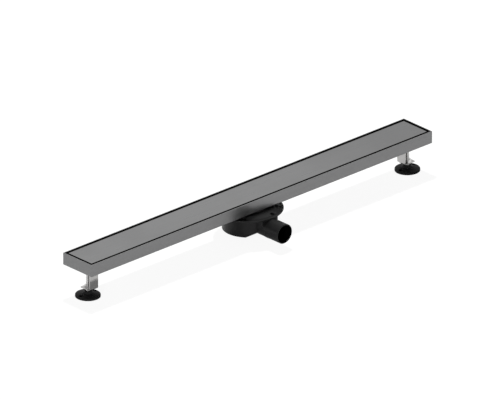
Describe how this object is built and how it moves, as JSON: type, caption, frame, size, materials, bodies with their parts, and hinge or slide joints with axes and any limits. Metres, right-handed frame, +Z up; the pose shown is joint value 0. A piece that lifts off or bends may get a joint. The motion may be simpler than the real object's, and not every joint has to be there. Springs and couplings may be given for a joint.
{
  "type": "linear shower drain",
  "caption": "Linear shower drain: a narrow steel channel with a flat cover and a water slot round it, a low black trap with a side outlet, and levelling feet",
  "frame": {"origin": "on the floor, midway between the two feet, with both feet screwed right in", "axes": "+X along the channel, the outlet points to -Y, +Z up"},
  "size_m": [0.9, 0.175, 0.087],
  "materials": {
    "brushed_channel": "dark grey brushed stainless steel",
    "trap_plastic": "black moulded plastic with a fine grain",
    "siphon_plastic": "dark grey moulded plastic",
    "seal_rubber": "black rubber",
    "bright_zinc": "bright zinc-plated steel",
    "screw_steel": "blackened steel",
    "strainer_steel": "satin stainless steel",
    "foot_plastic": "black moulded plastic"
  },
  "bodies": {
    "drain": {"channel": "brushed_channel", "cover_plate": "brushed_channel", "cover_spacers": "trap_plastic", "trap_bowl": "trap_plastic", "trap_cover": "trap_plastic", "clamp_ring": "trap_plastic", "siphon_tube": "siphon_plastic", "siphon_cup": "siphon_plastic", "housing_seal": "seal_rubber", "inlet_gasket": "seal_rubber", "siphon_o_ring": "seal_rubber", "flange_screws": "screw_steel", "hair_strainer": "strainer_steel", "bracket_left": "bright_zinc", "bracket_right": "bright_zinc", "bracket_nut_left": "bright_zinc", "bracket_nut_right": "bright_zinc", "lock_nut_left": "bright_zinc", "lock_nut_right": "bright_zinc"},
    "foot_left": {"foot_stud_left": "bright_zinc", "foot_pad_left": "foot_plastic"},
    "foot_right": {"foot_stud_right": "bright_zinc", "foot_pad_right": "foot_plastic"}
  },
  "joints": [
    {"name": "foot_left_height", "type": "slide", "parent": "drain", "child": "foot_left", "axis": [0, 0, 1], "range_m": [-0.03, 0]},
    {"name": "foot_right_height", "type": "slide", "parent": "drain", "child": "foot_right", "axis": [0, 0, 1], "range_m": [-0.03, 0]}
  ]
}
